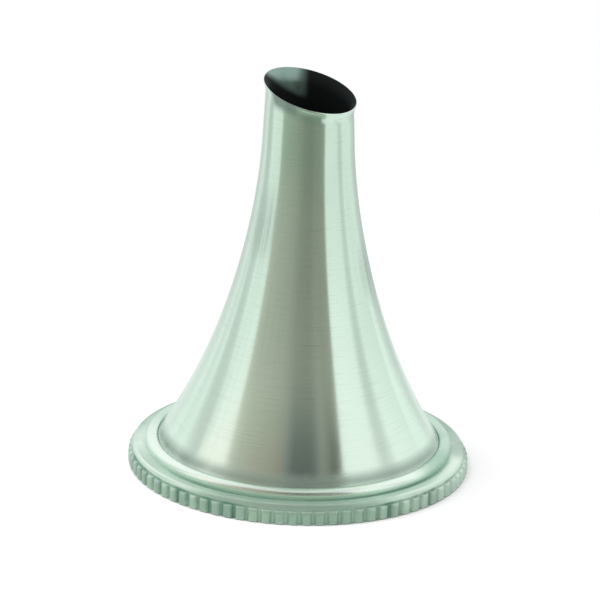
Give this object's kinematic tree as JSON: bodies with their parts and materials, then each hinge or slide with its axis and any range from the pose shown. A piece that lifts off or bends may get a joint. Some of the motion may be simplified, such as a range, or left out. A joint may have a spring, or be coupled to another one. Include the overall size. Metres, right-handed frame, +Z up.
{
  "type": "ear speculum",
  "caption": "Hand-held ear speculum: a thin flared metal funnel with a slanted round tip, soldered into a turned rim with a bead moulding and a milled edge.",
  "frame": {"origin": "centre of the rim's flat underside, where the speculum's axis meets the surface that it stands on", "axes": "+Z up the speculum's axis from the wide rim to the narrow tip; +X towards the low side of the slanted tip; +Y completes the right-handed set"},
  "size_m": [0.0296, 0.0296, 0.035],
  "materials": {
    "funnel_metal": "nickel-plated sheet, satin, finely brushed round the axis",
    "bead_metal": "nickel-plated moulding, polished brighter than the funnel",
    "rim_metal": "nickel-plated turned ring, satin, with worn milling on its edge",
    "solder": "dull grey soft solder"
  },
  "bodies": {
    "root": {"funnel": "funnel_metal", "bead_ring": "bead_metal", "milled_rim": "rim_metal", "solder_ring": "solder"}
  },
  "joints": []
}
